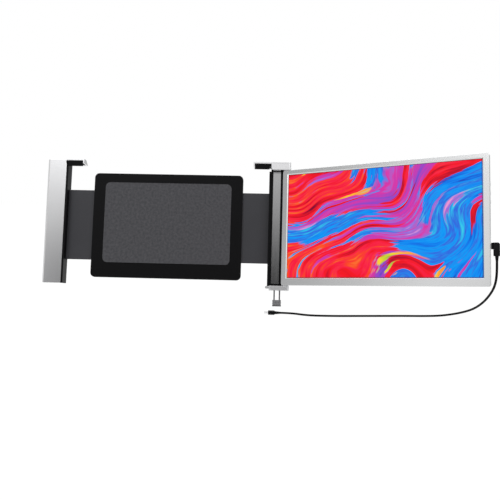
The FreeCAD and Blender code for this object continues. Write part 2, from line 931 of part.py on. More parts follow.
def makePort(z, high, openHigh, openThick, innerTongue):
    mouth = screenRight - portMouth
    shell = box(
        mouth - portLength, mouth, portDeep - portThick / 2, portDeep + portThick / 2,
        z - high / 2, z + high / 2,
    )
    shell = rounded(shell, Vec(1, 0, 0), portRound)
    opening = box(
        mouth - portOpenLength, mouth, portDeep - openThick / 2, portDeep + openThick / 2,
        z - openHigh / 2, z + openHigh / 2,
    )
    opening = rounded(opening, Vec(1, 0, 0), portOpenRound)
    tongue = box(
        mouth - portOpenLength, mouth - portOpenLength + tongueOut, portDeep - tongueFlat / 2,
        portDeep + tongueFlat / 2, z - innerTongue / 2, z + innerTongue / 2,
    )
    return joined([shell.cut(opening), tongue])


def makeBoard():
    right = screenRight - screenSide - boardEdgeGap
    return box(right - boardWide, right, boardFront, boardBack, boardBottom, boardTop)


def makeSwitches():
    face = screenRight - screenSide - buttonFlangeGap - buttonFlangeThick - buttonTravel - switchGap
    made = []
    for z in buttonZ:
        half = switchHigh / 2
        made.append(box(face - switchDeep, face, portDeep - switchFrontOut, boardFront, z - half, z + half))
    return group(made)


def makeButton(z):
    inner = screenRight - screenSide - buttonFlangeGap
    deep = buttonThick / 2
    half = buttonHigh / 2
    flange = box(
        inner - buttonFlangeThick, inner, portDeep - deep - buttonFlange, portDeep + deep + buttonFlange,
        z - half - buttonFlangeEnd, z + half + buttonFlangeEnd,
    )
    cap = box(
        inner - buttonFlangeThick, screenRight + buttonProud, portDeep - deep, portDeep + deep,
        z - half, z + half,
    )
    cap = rounded(cap, Vec(1, 0, 0), deep - roundFlat)
    return joined([flange, cap])


def knuckleSpan(high):
    if high > 0:
        return screenTop - screenCorner - knuckleHigh, screenTop - screenCorner
    return screenBottom + screenCorner, screenBottom + screenCorner + knuckleHigh


def makeKnuckle(high):
    low, top = knuckleSpan(high)
    back = coverInner - knuckleGap
    block = box(-knuckleWide / 2, knuckleWide / 2, back - knuckleDeep, back, low, top)
    bore = rod(pinDia + 2 * (pinGap + bushWall), Vec(0, 0, low), Vec(0, 0, 1), knuckleHigh)
    return block.cut(bore)


def makeBush(high):
    low, top = knuckleSpan(high)
    outer = rod(pinDia + 2 * (pinGap + bushWall), Vec(0, 0, low), Vec(0, 0, 1), knuckleHigh)
    inner = rod(pinDia + 2 * pinGap, Vec(0, 0, low), Vec(0, 0, 1), knuckleHigh)
    return outer.cut(inner)


def makeWashers():
    made = []
    for low, top in ((screenTop, spineTop), (spineBottom, screenBottom)):
        outer = rod(washerDia, Vec(0, 0, low + washerGap), Vec(0, 0, 1), top - low - 2 * washerGap)
        inner = rod(pinDia + 2 * wallHoleGap, Vec(0, 0, low), Vec(0, 0, 1), top - low)
        made.append(outer.cut(inner))
    return group(made)


def hollowShell(length):
    """A plug's metal shell along +X from x = 0, its wide side along Z."""
    outer = box(0, length, -plugShellThick / 2, plugShellThick / 2, -plugShellHigh / 2, plugShellHigh / 2)
    outer = rounded(outer, Vec(1, 0, 0), plugShellThick / 2 - roundFlat)
    inThick = plugShellThick - 2 * plugShellWall
    inHigh = plugShellHigh - 2 * plugShellWall
    inner = box(0, length, -inThick / 2, inThick / 2, -inHigh / 2, inHigh / 2)
    inner = rounded(inner, Vec(1, 0, 0), inThick / 2 - roundFlat)
    return outer.cut(inner)


def makeAngleShell():
    length = plugShellIn + portMouth + plugSeatGap
    shell = hollowShell(length)
    shell.translate(Vec(screenRight + plugSeatGap - length, portDeep, portZ[0]))
    return shell


def makeAngleBody():
    left = screenRight + plugSeatGap
    neckRight = left + anglePlugNeck
    half = anglePlugThick / 2
    bodyRight = neckRight + anglePlugWide
    neck = box(
        left, neckRight, portDeep - half + anglePlugNeckStep, portDeep + half - anglePlugNeckStep,
        portZ[0] - anglePlugNeckHigh / 2, portZ[0] + anglePlugNeckHigh / 2,
    )
    neck = rounded(neck, Vec(1, 0, 0), anglePlugNeckRound)
    body = box(
        neckRight, bodyRight, portDeep - half, portDeep + half,
        portZ[0] - anglePlugDrop, portZ[0] + anglePlugTop,
    )
    topEdge = []
    for edge in edgesAtX(body, Vec(0, 1, 0), bodyRight):
        if edge.BoundBox.ZMin > portZ[0]:
            topEdge.append(edge)
    body = body.makeFillet(anglePlugRound, topEdge)
    return joined([neck, body])


def makeAngleRelief():
    start = Vec(reliefX, portDeep, reliefTop)
    return Part.makeCone(reliefWide / 2, cableDia / 2 + reliefTipWall, reliefLength, start, Vec(0, 0, -1))


def makeDeskShell():
    shell = hollowShell(deskPlugFace - deskPlugTip)
    shell.rotate(Vec(0, 0, 0), Vec(1, 0, 0), 90)
    shell.translate(Vec(deskPlugTip, deskPlugY, deskPlugZ))
    return shell


def makeDeskPlug():
    half = deskPlugWide / 2
    high = deskPlugThick / 2
    body = box(
        deskPlugFace, deskPlugFace + deskPlugLength, deskPlugY - half, deskPlugY + half,
        deskPlugZ - high, deskPlugZ + high,
    )
    return rounded(body, Vec(1, 0, 0), deskPlugRound)


def makeDeskRelief():
    start = Vec(deskReliefEnd - deskReliefLength, deskPlugY, deskPlugZ)
    tip = cableDia / 2 + reliefTipWall
    return Part.makeCone(deskReliefWide / 2, tip, deskReliefLength, start, Vec(1, 0, 0))


def worldPoint(x, y, z):
    """A point of the display's own frame in the finished model's frame."""
    acrossX = pivotX + x * math.cos(swivel) + y * math.sin(swivel)
    acrossY = pivotY - x * math.sin(swivel) + y * math.cos(swivel)
    return Vec(
        acrossX,
        acrossY * math.cos(lean) + z * math.sin(lean),
        z * math.cos(lean) - acrossY * math.sin(lean),
    )


cableEnd = worldPoint(reliefX, portDeep, reliefTop - reliefLength)
# The cable's way from the plug on the desk to the plug in the display's edge. The first
# point is the end of the desk plug's relief, and the last is the end of the other relief.
cablePoints = [
    Vec(deskReliefEnd, deskPlugY, deskPlugZ),
    Vec(219.0, deskPlugY, deskPlugZ),
    Vec(246.0, -17.5, cableRestZ),
    Vec(288.0, -19.5, cableRestZ),
    Vec(332.0, -14.5, cableRestZ),
    Vec(376.0, -7.5, cableRestZ),
    Vec(414.0, -0.5, cableRestZ),
    Vec(443.0, 3.5, cableRestZ),
    Vec(467.0, -13.0, -146.6),
    Vec(483.5, -38.0, -139.4),
    Vec(494.0, -66.0, -130.3),
    Vec(500.5, -94.0, -120.0),
    Vec(504.6, -121.0, -106.0),
    Vec(506.0, -146.0, -89.5),
    Vec(505.0, -166.0, -74.0),
    Vec(cableEnd.x, cableEnd.y - cableLeadIn * math.sin(lean), cableEnd.z - cableLeadIn * math.cos(lean)),
    cableEnd,
]


def makeCable(points, dia):
    """A round tube whose path is straight runs joined by tangent arcs."""
    edges = []
    here = points[0]
    length = 0.0
    for index in range(1, len(points) - 1):
        before = points[index - 1]
        corner = points[index]
        after = points[index + 1]
        inward = (corner - before).normalize()
        outward = (after - corner).normalize()
        turn = math.acos(max(-1.0, min(1.0, inward.dot(outward))))
        shorter = min((corner - before).Length, (after - corner).Length)
        cut = cableCornerPart * shorter
        radius = cut / math.tan(turn / 2)
        start = corner - inward * cut
        end = corner + outward * cut
        bisect = (outward - inward).normalize()
        centre = corner + bisect * (radius / math.cos(turn / 2))
        middle = centre - bisect * radius
        edges.append(Part.LineSegment(here, start).toShape())
        edges.append(Part.Arc(start, middle, end).toShape())
        length += (start - here).Length + radius * turn
        here = end
    edges.append(Part.LineSegment(here, points[-1]).toShape())
    length += (points[-1] - here).Length
    wire = Part.Wire(edges)
    way = (points[1] - points[0]).normalize()
    ring = Part.Wire([Part.makeCircle(dia / 2, points[0], way)])
    tube = wire.makePipeShell([ring], True, False)
    print("cable length", round(length, 1))
    print("cable volume", round(tube.Volume, 1), "of", round(math.pi * dia ** 2 / 4 * length, 1))
    return tube


def build():
    write("lid_pad", makeLidPad())
    write("carrier_front_plate", makeFrontPlate())
    write("carrier_rear_cover", makeRearCover())
    rails = [makeRail(1), makeRail(-1)]
    write("slide_rails", group(rails + [mirrored(rail) for rail in rails]))
    leaves = [makeLeaf(z) for z in leafZ]
    write("friction_springs", group(leaves + [mirrored(leaf) for leaf in leaves]))
    write("stop_pins", group([makeStopPin(-1), makeStopPin(1)]))
    write("carrier_screws", group([screwFromBack(x, carrierThick, z) for x, z in carrierScrewSpots]))

    write("left_slide_plate", mirrored(makeSlide(leftInner + slideDeep, leftScrewX)))
    write("left_side_shell", mirrored(makeLeftShell()))
    write("left_side_liner", mirrored(makeLeftLiner()))
    write("left_clip_bar", mirrored(makeClipBar(leftInner, leftTop, leftClipScrewLength)))
    write("left_clip_block", mirrored(makeClipBlock(leftInner)))
    write("left_arm_screws", mirrored(group([screwFromBack(leftScrewX, armBack, z) for z in armScrewZ])))
    write("left_clip_screws", mirrored(group(
        [screwDown(x, y, leftTop, leftClipScrewLength, 1) for x, y in clipScrewSpots(leftInner)])))

    write("right_slide_plate", makeSlide(spineRight - sideCoverWall - slideEndGap, rightScrewX))
    write("spine_housing", makeSpineHousing())
    write("spine_insert", makeSpineInsert())
    write("right_side_liner", makeRightLiner())
    write("right_side_cover", makeSideCover())
    write("right_top_bracket", makeTopBracket())
    write("right_clip_bar", makeClipBar(bracketLeft, bracketTop, clipScrewLength))
    write("right_clip_block", makeClipBlock(bracketLeft))
    write("right_bottom_bracket", makeBottomBracket())
    write("pivot_pins", makePins())
    write("leg_guide", makeLegGuide())
    write("right_arm_screws", group([screwFromBack(rightScrewX, armBack, z) for z in armScrewZ]))
    write("side_cover_screws", group(
        [screwFromBack(sideScrewX, armBack, z, sideScrewLength) for z in sideScrewZ]))
    brackets = []
    for x in spineScrewX:
        brackets.append(screwDown(x, spineScrewY, bracketTop, topScrewLength, 1))
        brackets.append(screwDown(x, spineScrewY, bracketBottom, bottomScrewLength, -1))
    write("bracket_screws", group(brackets))
    write("right_clip_screws", group(
        [screwDown(x, y, bracketTop, clipScrewLength, 1) for x, y in clipScrewSpots(bracketLeft)]))

    write("leg_rods", makeRods())
    write("leg_yoke", makeYoke())
    write("foot_block", makeFoot())
    write("foot_pad", makeFootPad())

    write("screen_front_bezel", onScreen(makeBezel()))
    write("screen_back_cover", onScreen(makeBackCover()))
    write("lcd_panel", onScreen(makePanel(panelFront, panelBack)))
    write("backlight_unit", onScreen(makePanel(panelBack, backlightBack)))
    write("control_board", onScreen(makeBoard()))
    ports = [makePort(z, portHigh, portOpenHigh, portOpenThick, tongueHigh) for z in portZ]
    write("usb_c_ports", onScreen(group(ports)))
    write("mini_video_port", onScreen(makePort(
        miniPortZ, miniPortHigh, miniPortOpenHigh, miniPortOpenThick, miniTongueHigh)))
    write("tact_switches", onScreen(makeSwitches()))
    write("hinge_knuckles", onScreen(group([makeKnuckle(1), makeKnuckle(-1)])))
    write("hinge_bushes", onScreen(group([makeBush(1), makeBush(-1)])))
    write("friction_washers", onScreen(makeWashers()))
    write("screen_screws", onScreen(group([screenScrew(x, z) for x, z in screenScrewSpots()])))
    for name, z in zip(buttonNames, buttonZ):
        write(name, onScreen(makeButton(z)))
    write("angle_plug_shell", onScreen(makeAngleShell()))
    write("angle_plug_body", onScreen(makeAngleBody()))
    write("angle_plug_relief", onScreen(makeAngleRelief()))

    writeFlat("desk_plug_shell", makeDeskShell())
    writeFlat("desk_plug_body", makeDeskPlug())
    writeFlat("desk_plug_relief", makeDeskRelief())
    writeFlat("cable", makeCable(cablePoints, cableDia))


os.makedirs("parts", exist_ok=True)
build()
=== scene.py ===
import json
import math
import bmesh
import bpy
import numpy as np
from mathutils import Matrix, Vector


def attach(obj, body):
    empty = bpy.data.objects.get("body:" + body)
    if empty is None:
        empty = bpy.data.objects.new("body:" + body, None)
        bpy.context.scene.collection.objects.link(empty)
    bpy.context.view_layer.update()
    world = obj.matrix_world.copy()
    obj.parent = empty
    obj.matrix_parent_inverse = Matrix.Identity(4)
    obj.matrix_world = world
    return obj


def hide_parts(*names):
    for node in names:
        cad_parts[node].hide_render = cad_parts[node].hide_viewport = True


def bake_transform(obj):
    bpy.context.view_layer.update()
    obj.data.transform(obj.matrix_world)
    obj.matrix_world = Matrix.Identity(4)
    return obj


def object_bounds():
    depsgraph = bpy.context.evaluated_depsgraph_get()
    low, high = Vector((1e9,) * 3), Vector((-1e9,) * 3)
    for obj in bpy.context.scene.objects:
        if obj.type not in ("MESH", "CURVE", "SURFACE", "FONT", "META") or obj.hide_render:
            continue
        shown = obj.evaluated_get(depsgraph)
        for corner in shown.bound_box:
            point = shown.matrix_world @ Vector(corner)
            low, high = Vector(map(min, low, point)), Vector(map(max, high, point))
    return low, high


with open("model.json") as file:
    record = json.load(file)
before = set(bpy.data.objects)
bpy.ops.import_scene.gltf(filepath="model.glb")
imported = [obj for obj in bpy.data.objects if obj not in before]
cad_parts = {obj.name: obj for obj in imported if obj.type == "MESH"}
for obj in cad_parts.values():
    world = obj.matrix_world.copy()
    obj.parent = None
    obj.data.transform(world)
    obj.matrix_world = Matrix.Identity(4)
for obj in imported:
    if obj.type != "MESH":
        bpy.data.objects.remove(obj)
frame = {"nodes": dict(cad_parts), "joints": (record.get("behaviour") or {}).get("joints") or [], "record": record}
cadBox = [list(corner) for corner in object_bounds()]
nodes = frame["nodes"]
joints = {joint["name"]: joint for joint in frame["joints"]}
slotOf = {entry["node"]: entry["material_slot"] for entry in frame["record"]["subparts"]}
bodyOf = {
    member: body
    for body, members in frame["record"]["behaviour"]["bodies"].items()
    for member in members
}
print("frame loaded:", len(nodes), "pieces of the frame")

# The camera stands where the photograph was taken from.
viewpoint = {
    "place": (0.184985, -1.059488, 0.035579),  # metres
    "yaw": -0.0381332,                         # radians, as the next two
    "pitch": 0.0742418,
    "roll": 0.0201755,
    "focal": 615.86,                           # pixels of a picture this wide
    "picture": 500.0,
    "sensor": 36.0,                            # millimetres
    "nearest": 0.01,
}


def placeCamera(view):
    turn = (
        Matrix.Rotation(view["roll"], 3, "Y")
        @ Matrix.Rotation(view["pitch"], 3, "X")
        @ Matrix.Rotation(view["yaw"], 3, "Z")
    )
    axes = Matrix((turn[0], turn[2], -turn[1])).transposed()  # right, up and back as columns
    data = bpy.data.cameras.new("photoCamera")
    data.sensor_width = view["sensor"]
    data.lens = view["focal"] / view["picture"] * view["sensor"]
    data.clip_start = view["nearest"]
    camera = bpy.data.objects.new("photoCamera", data)
    bpy.context.scene.collection.objects.link(camera)
    camera.matrix_world = Matrix.Translation(view["place"]) @ axes.to_4x4()
    bpy.context.scene.camera = camera


placeCamera(viewpoint)
print("camera placed")

mergeDistance = 1e-7  # points of a mesh nearer than this are one, in metres


def addObject(name, mesh):
    piece = bpy.data.objects.new(name, mesh)
    bpy.context.scene.collection.objects.link(piece)
    return piece


def makeSmooth(mesh):
    mesh.polygons.foreach_set("use_smooth", np.ones(len(mesh.polygons), bool))


def skinned(name, parts, sharpAngle=35):
    # Each part is (grid, wraps, caps): rows of points, whether the last column joins the first,
    # and whether the first and last rows are closed with a flat face. All parts make one mesh.
    points = []
    faces = []
    start = 0
    for grid, wraps, caps in parts:
        rows, columns = grid.shape[:2]
        index = start + np.arange(rows * columns).reshape(rows, columns)
        right = np.roll(index, -1, axis=1)
        quads = np.stack([index[:-1], right[:-1], right[1:], index[1:]], axis=-1)
        if not wraps:
            quads = quads[:, :-1]
        faces += quads.reshape(-1, 4).tolist()
        if caps:
            faces += [index[0][::-1].tolist(), index[-1].tolist()]
        points.append(grid.reshape(-1, 3))
        start += rows * columns
    mesh = bpy.data.meshes.new(name)
    mesh.from_pydata(np.concatenate(points).tolist(), [], faces)
    work = bmesh.new()
    work.from_mesh(mesh)
    bmesh.ops.remove_doubles(work, verts=work.verts, dist=mergeDistance)
    bmesh.ops.recalc_face_normals(work, faces=work.faces)
    work.to_mesh(mesh)
    work.free()
    makeSmooth(mesh)
    mesh.set_sharp_from_angle(angle=math.radians(sharpAngle))
    return addObject(name, mesh)


def unit(vectors):
    return vectors / np.linalg.norm(vectors, axis=-1, keepdims=True)


def sideways(along):
    # Two directions square to a direction and to each other.
    along = unit(np.asarray(along, float))
    helper = np.eye(3)[np.argmin(np.abs(along))]
    first = unit(np.cross(along, helper))
    return first, np.cross(along, first)


def turned(profile, foot, along, around):
    # A turned shape: point(i, angle) = foot + along * height(i) + radius(i) * (cos, sin of angle)
    profile = np.asarray(profile, float)
    angle = np.linspace(0, 2 * math.pi, around, endpoint=False)
    first, second = sideways(along)
    ring = np.cos(angle)[:, None] * first + np.sin(angle)[:, None] * second
    centre = np.asarray(foot, float) + profile[:, :1] * unit(np.asarray(along, float))
    return centre[:, None, :] + profile[:, 1][:, None, None] * ring[None]


# The lead: its route has the points of the tube, from the desk to the display, in metres.
lead = {
    "points": [
        (0.1987, -0.013, -0.1491), (0.219, -0.013, -0.1491), (0.246, -0.0225, -0.15065),
        (0.288, -0.0215, -0.15065), (0.332, -0.0145, -0.15065), (0.376, -0.0075, -0.15065),
        (0.414, -0.0015, -0.15065), (0.443, 0.0015, -0.15065), (0.467, -0.0155, -0.1466),
        (0.4835, -0.038, -0.1394), (0.494, -0.066, -0.1303), (0.5005, -0.094, -0.12),
        (0.5046, -0.121, -0.106), (0.506, -0.146, -0.0895), (0.505, -0.166, -0.074),
        (0.50416, -0.17341, -0.0557), (0.50416, -0.17036, -0.0379),
    ],
    "diameter": 0.0035,
    "length": 0.489,
    "around": 20,
    "smoothness": 14,
    "across": (0.7, 0.7, 0.0),               # a direction that the lead never runs along
    "bendStart": (0.219, -0.013, -0.1491),   # where the lead leaves the arm
    "bendEnd": (0.504, -0.170, -0.038),      # and where it reaches the display
    "sleeveWall": 0.0003,                    # wall of a strain relief at its tip
}


def splineThrough(points, smoothness):
    # A NURBS curve of order 3 with these control points, and the points that Blender draws it with.
    data = bpy.data.curves.new("route", "CURVE")
    data.dimensions = "3D"
    data.resolution_u = smoothness
    spline = data.splines.new("NURBS")
    spline.points.add(len(points) - 1)
    spline.points.foreach_set("co", np.hstack([points, np.ones((len(points), 1))]).ravel())
    spline.order_u = 3
    spline.use_endpoint_u = True
    route = bpy.data.objects.new("route", data)
    drawn = bpy.data.meshes.new_from_object(route)
    found = meshPoints(drawn)
    bpy.data.objects.remove(route)
    bpy.data.curves.remove(data)
    bpy.data.meshes.remove(drawn)
    return found


def meshPoints(mesh):
    found = np.zeros(len(mesh.vertices) * 3)
    mesh.vertices.foreach_get("co", found)
    return found.reshape(-1, 3)


def swept(line, radius, around, across):
    # A round tube: point(i, angle) = line(i) + radius * (cos * side(i) + sin * rise(i))
    way = unit(np.gradient(line, axis=0))
    side = unit(np.cross(way, np.asarray(across, float)))
    rise = np.cross(way, side)
    angle = np.linspace(0, 2 * math.pi, around, endpoint=False)[None, :, None]
    return line[:, None] + radius * (np.cos(angle) * side[:, None] + np.sin(angle) * rise[:, None])


leadLine = splineThrough(np.array(lead["points"]), lead["smoothness"])
leadLength = np.linalg.norm(np.diff(leadLine, axis=0), axis=1).sum()
cable = skinned(
    "cable_jacket",
    [(swept(leadLine, lead["diameter"] / 2, lead["around"], lead["across"]), True, True)],
)
print("lead drawn:", round(1000 * leadLength, 1), "mm")

# The object's own frames, each an origin and three directions: right, back and up.
up = -np.array(joints["leg_slide"]["axis"])
outward = -np.array(joints["power_button_press"]["axis"])
leanAngle = math.atan2(up[1], up[2])
deskFrame = (np.zeros(3), np.eye(3))
lidFrame = (np.zeros(3), np.array([(1, 0, 0), np.cross(up, (1, 0, 0)), up]))
screenFrame = (
    np.array(joints["screen_swivel"]["pos_m"]),
    np.array([outward, np.cross(up, outward), up]),
)


def toWorld(points, place):
    return place[0] + np.asarray(points, float) @ place[1]


def toLocal(points, place):
    return (points - place[0]) @ place[1].T


def localBox(node, place):
    found = toLocal(meshPoints(nodes[node].data), place)
    return found.min(axis=0), found.max(axis=0)


def islands(node, place):
    # The boxes of a node's separate solids, as (low corner, high corner): its points are gathered
    # along the edges that join them.
    work = bmesh.new()
    work.from_mesh(nodes[node].data)
    bmesh.ops.remove_doubles(work, verts=work.verts, dist=mergeDistance)
    left = set(work.verts)
    boxes = []
    while left:
        reach = [left.pop()]
        group = []
        while reach:
            vertex = reach.pop()
            group.append(vertex.co[:])
            for edge in vertex.link_edges:
                other = edge.other_vert(vertex)
                if other in left:
                    left.remove(other)
                    reach.append(other)
        local = toLocal(np.array(group), place)
        boxes.append((local.min(axis=0), local.max(axis=0)))
    work.free()
    return sorted(boxes, key=lambda box: box[0].tolist())


class Signal:
    # One output of a shader node. Python's operators on it add Math nodes.
    def __init__(self, finish, socket):
        self.finish = finish
        self.socket = socket

    def maths(self, operation, first, second):
        return self.finish.make("ShaderNodeMath", {"operation": operation}, {0: first, 1: second})

    def __add__(self, other):
        return self.maths("ADD", self, other)

    def __radd__(self, other):
        return self.maths("ADD", other, self)

    def __sub__(self, other):
        return self.maths("SUBTRACT", self, other)

    def __rsub__(self, other):
        return self.maths("SUBTRACT", other, self)

    def __mul__(self, other):
        return self.maths("MULTIPLY", self, other)

    def __rmul__(self, other):
        return self.maths("MULTIPLY", other, self)


class Finish:
    # A material under construction.
    def __init__(self, name, color, roughness, metallic=0.0):
        self.material = bpy.data.materials.new(name)
        self.material.use_nodes = True
        self.tree = self.material.node_tree
        self.shader = self.tree.nodes["Principled BSDF"]
        self.put("Base Color", (*color, 1.0))
        self.put("Roughness", roughness)
        self.put("Metallic", metallic)
        self.material.diffuse_color = (*color, 1.0)

    def connect(self, socket, value):
        if isinstance(value, Signal):
            self.tree.links.new(value.socket, socket)
        elif socket.type == "RGBA" and len(value) == 3:
            socket.default_value = (*value, 1.0)
        else:
            socket.default_value = value

    def make(self, kind, settings, values, out=0):
        # Adds a node: its settings first, then the values or links of its sockets.
        node = self.tree.nodes.new(kind)
        for key, value in settings.items():
            if key == "stops":
                ramp = node.color_ramp
                while len(ramp.elements) < len(value):
                    ramp.elements.new(0.5)
                for element, (place, color) in zip(ramp.elements, value):
                    element.position = place
                    element.color = (*color, 1.0)
            else:
                setattr(node, key, value)
        for key, value in values.items():
            self.connect(node.inputs[key], value)
        return Signal(self, node.outputs[out])

    def put(self, socket, value):
        self.connect(self.shader.inputs[socket], value)

    def spot(self, stretch):
        # The place on the object, turned upright with the lid and stretched for a grain.
        place = self.make("ShaderNodeTexCoord", {}, {}, "Object")
        return self.make(
            "ShaderNodeMapping", {"vector_type": "TEXTURE"},
            {"Vector": place, "Scale": stretch, "Rotation": (-leanAngle, 0, 0)},
        )

    def noise(self, scale, detail, roughness, stretch=(1, 1, 1), vector=None):
        vector = vector or self.spot(stretch)
        return self.make(
            "ShaderNodeTexNoise", {},
            {"Vector": vector, "Scale": scale, "Detail": detail, "Roughness": roughness},
        )

    def bend(self, value, low, high, toLow, toHigh):
        # What lies from low to high comes out as toLow to toHigh, and nothing passes them.
        return self.make(
            "ShaderNodeMapRange", {"clamp": True},
            {"Value": value, "From Min": low, "From Max": high, "To Min": toLow, "To Max": toHigh},
        )

    def mixed(self, share, first, second):
        return self.make(
            "ShaderNodeMix", {"data_type": "RGBA"}, {"Factor": share, 6: first, 7: second}, 2
        )

    def tint(self, grain, spread, first, second):
        # A colour that goes from the first to the second over the grain's spread.
        self.put("Base Color", self.mixed(self.bend(grain, *spread, 0, 1), first, second))

    def roughen(self, grain, spread, roughness, fall, rise):
        # A roughness that falls and rises by these much over the grain's spread.
        self.put("Roughness", self.bend(grain, *spread, roughness - fall, roughness + rise))

    def bump(self, height, strength, distance):
        self.put("Normal", self.make(
            "ShaderNodeBump", {}, {"Height": height, "Strength": strength, "Distance": distance}
        ))


finishes = {}

# Bead-blasted and anodised metal: a fine speckle in the gloss and a cloud in the tone.
satin = {
    "speckle": (5200, 2, 0.6),   # scale, detail and roughness of a noise
    "cloud": (14, 3, 0.5),
    "shares": (0.7, 0.3),        # of the speckle and of the cloud in the gloss
    "spread": (0.3, 0.7),        # the range that most of a noise lies in
    "gloss": (0.02, 0.025),      # how far the roughness falls and rises
    "darker": 0.955,
    "bump": (0.015, 0.00003),    # strength, and depth in metres
}

# Brushed or drawn metal: fine lines along one direction, in tone, gloss and relief.
brushed = {
    "lines": (2600, 3, 0.6),
    "stretch": 90.0,             # length of the lines, in times their width
    "tones": (0.32, 0.68),
    "spread": (0.3, 0.7),
    "gloss": (0.03, 0.04),
    "darker": 0.9,
    "bump": (0.04, 0.00003),
}

# Moulded plastic: a spark-eroded mould's fine texture, and sharp edges painted paler as a highlight.
moulded = {
    "grain": 3200,               # scale of the texture
    "noise": (3, 0.6),           # its detail and roughness
    "spread": (0.35, 0.65),
    "gloss": (0.05, 0.06),
    "relief": 0.12,              # strength of its bump
    "depth": 0.00012,            # and depth in metres
    "shine": 0.25,               # specular level
    "lighter": 1.8,              # how much paler the painted edge highlight is
    "lift": 0.01,
    "highlightShare": 0.35,                # and how much of that painted highlight shows
    "edges": (0.53, 0.62),       # the pointiness where the painted highlight begins and is full
}

# Felt on the lining: crossed fibres and loose tufts.
felt = {
    "fibres": (1900, 5, 0.75, (1.0, 1.0, 0.45)),
    "tufts": (240, 3, 0.6),
    "shares": (0.6, 0.4),
    "spread": (0.35, 0.65),
    "color": (0.045, 0.045, 0.05),
    "dark": (0.02, 0.02, 0.024),
    "pale": (0.075, 0.075, 0.083),
    "roughness": 0.9,
    "bump": (0.5, 0.0004),
    "sheen": 0.3,
}


def satinMetal(name, color, roughness):
    made = Finish(name, color, roughness, 1.0)
    speckle = made.noise(*satin["speckle"])
    cloud = made.noise(*satin["cloud"])
    grain = speckle * satin["shares"][0] + cloud * satin["shares"][1]
    made.roughen(grain, satin["spread"], roughness, *satin["gloss"])
    made.tint(cloud, satin["spread"], color, tuple(satin["darker"] * part for part in color))
    made.bump(speckle, *satin["bump"])
    finishes[name] = made


def brushedMetal(name, color, roughness, along):
    made = Finish(name, color, roughness, 1.0)
    stretch = tuple(brushed["stretch"] if part else 1.0 for part in along)
    lines = made.noise(*brushed["lines"], stretch)
    made.tint(lines, brushed["tones"], tuple(brushed["darker"] * part for part in color), color)
    made.roughen(lines, brushed["spread"], roughness, *brushed["gloss"])
    made.bump(lines, *brushed["bump"])
    finishes[name] = made


def mouldedPlastic(name, color, roughness, **changes):
    look = {**moulded, **changes}
    made = Finish(name, color, roughness)
    made.put("Specular IOR Level", look["shine"])
    texture = made.noise(look["grain"], *look["noise"])
    # Sharp edges are painted paler, as a painted highlight along them.
    pointy = made.make("ShaderNodeNewGeometry", {}, {}, "Pointiness")
    edge = made.bend(pointy, *look["edges"], 0.0, look["highlightShare"])
    highlightColor = tuple(min(1.0, look["lighter"] * part + look["lift"]) for part in color)
    made.put("Base Color", made.mixed(edge, color, highlightColor))
    made.roughen(texture, look["spread"], roughness, *look["gloss"])
    made.bump(texture, look["relief"], look["depth"])
    finishes[name] = made


def feltLining(name, look):
    made = Finish(name, look["color"], look["roughness"])
    fibres = made.noise(*look["fibres"])
    tufts = made.noise(*look["tufts"])
    grain = fibres * look["shares"][0] + tufts * look["shares"][1]
    made.tint(grain, look["spread"], look["dark"], look["pale"])
    made.bump(fibres, *look["bump"])
    made.put("Sheen Weight", look["sheen"])
    finishes[name] = made


satinMetal("silver_aluminium", (0.68, 0.68, 0.69), 0.17)
satinMetal("screen_silver", (0.67, 0.675, 0.68), 0.15)
satinMetal("bracket_silver", (0.6, 0.6, 0.61), 0.34)
# A rougher copy of the silver for the rear pieces, its colour darkened as painted shade.
satinMetal("rear_silver_shaded", (0.57, 0.575, 0.58), 0.36)
satinMetal("screw_steel", (0.5, 0.5, 0.52), 0.3)
satinMetal("connector_steel", (0.72, 0.72, 0.73), 0.2)
satinMetal("bush_brass", (0.72, 0.55, 0.26), 0.28)
brushedMetal("spine_metal", (0.39, 0.39, 0.395), 0.15, (0, 0, 1))
brushedMetal("steel", (0.15, 0.15, 0.155), 0.34, (0, 0, 1))
brushedMetal("spring_steel", (0.56, 0.56, 0.58), 0.3, (1, 0, 0))
mouldedPlastic("black_plastic", (0.0035, 0.0035, 0.004), 0.36, shine=0.07)
mouldedPlastic("clip_rubber", (0.003, 0.003, 0.0035), 0.5, grain=2400, relief=0.16, shine=0.05)
mouldedPlastic("bearing_plastic", (0.05, 0.05, 0.052), 0.4)
mouldedPlastic("foot_plastic", (0.21, 0.21, 0.215), 0.42)
mouldedPlastic("dark_steel", (0.035, 0.035, 0.04), 0.38, grain=4200, relief=0.1)
mouldedPlastic("white_plastic", (0.8, 0.8, 0.8), 0.5, lighter=1.1)
mouldedPlastic("circuit_board", (0.02, 0.14, 0.06), 0.35, grain=1500)
mouldedPlastic("cable_black", (0.004, 0.004, 0.0045), 0.4, grain=2600, relief=0.06, shine=0.05)
mouldedPlastic("plug_black", (0.003, 0.003, 0.0035), 0.36, grain=3000, relief=0.08, shine=0.08)
mouldedPlastic("button_plastic", (0.03, 0.03, 0.033), 0.3, grain=3600, relief=0.06)
feltLining("lining", felt)

